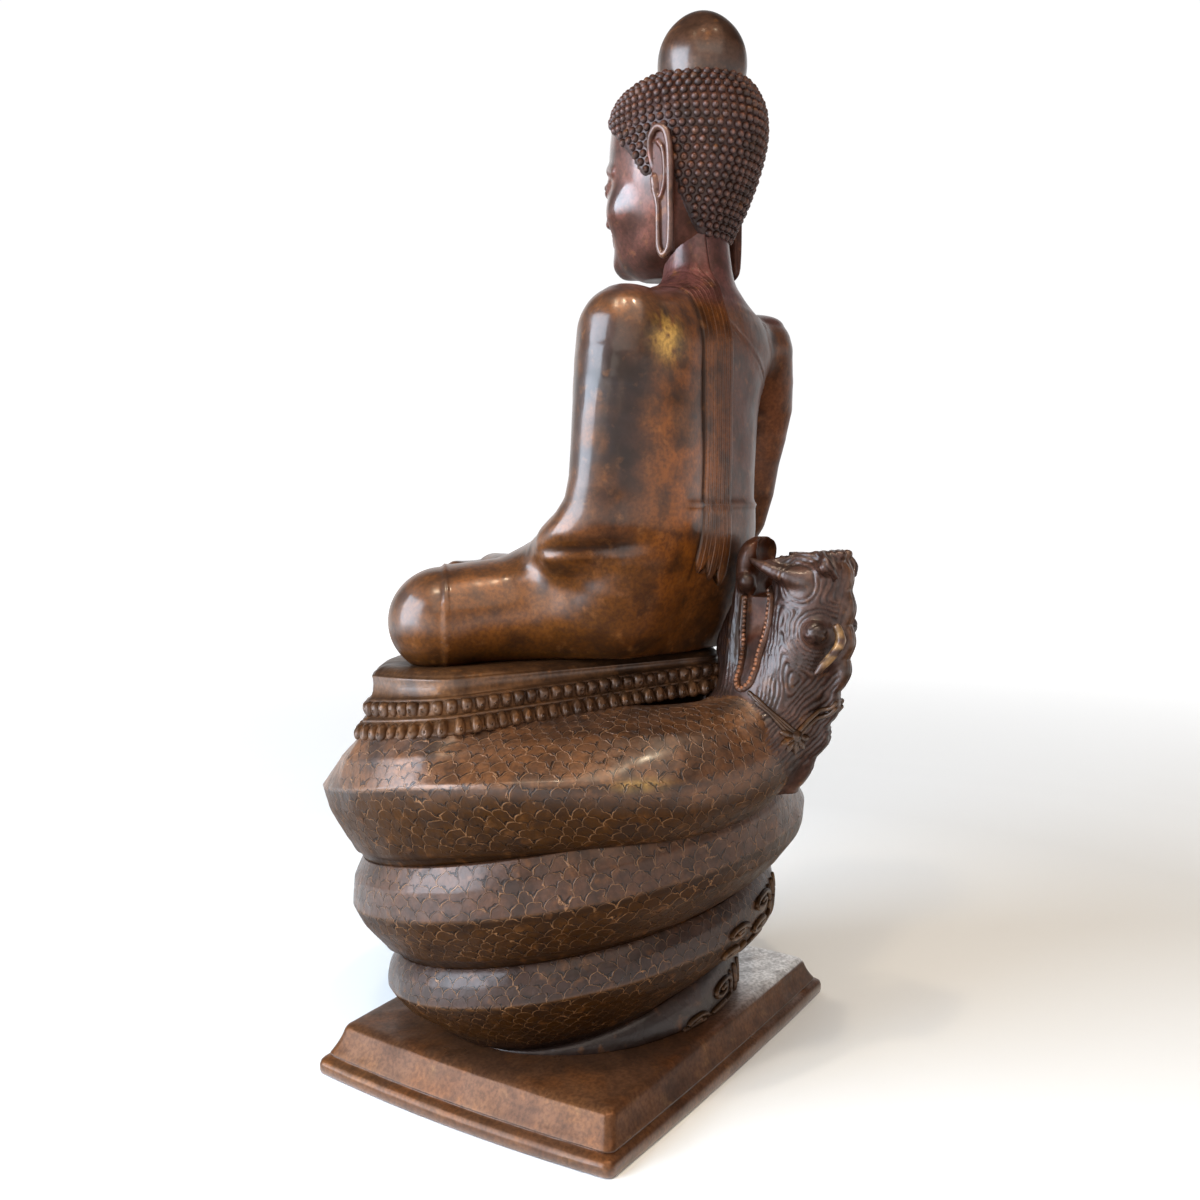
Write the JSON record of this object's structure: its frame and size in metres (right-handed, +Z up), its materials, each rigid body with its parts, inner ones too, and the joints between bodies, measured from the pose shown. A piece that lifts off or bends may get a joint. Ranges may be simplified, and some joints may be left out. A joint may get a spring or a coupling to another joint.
{
  "type": "buddha figure",
  "caption": "Bronze figure seated cross-legged on a lotus seat over a coiled serpent that rears behind it, with a low rectangular plinth.",
  "frame": {"origin": "centre of the plinth's underside", "axes": "+Z up, the figure faces -Y, its left hand side is +X"},
  "size_m": [0.5893, 0.5888, 1.1],
  "materials": {
    "plinth_bronze": "dark red-brown patinated bronze, semi-gloss",
    "serpent_bronze": "dark brown patinated bronze with rubbed scale edges",
    "seat_bronze": "dark brown patinated bronze, semi-gloss",
    "figure_bronze": "orange-brown patinated bronze, polished by touch"
  },
  "bodies": {
    "root": {"plinth": "plinth_bronze", "serpent": "serpent_bronze", "lotus_seat": "seat_bronze", "seated_figure": "figure_bronze"}
  },
  "joints": []
}
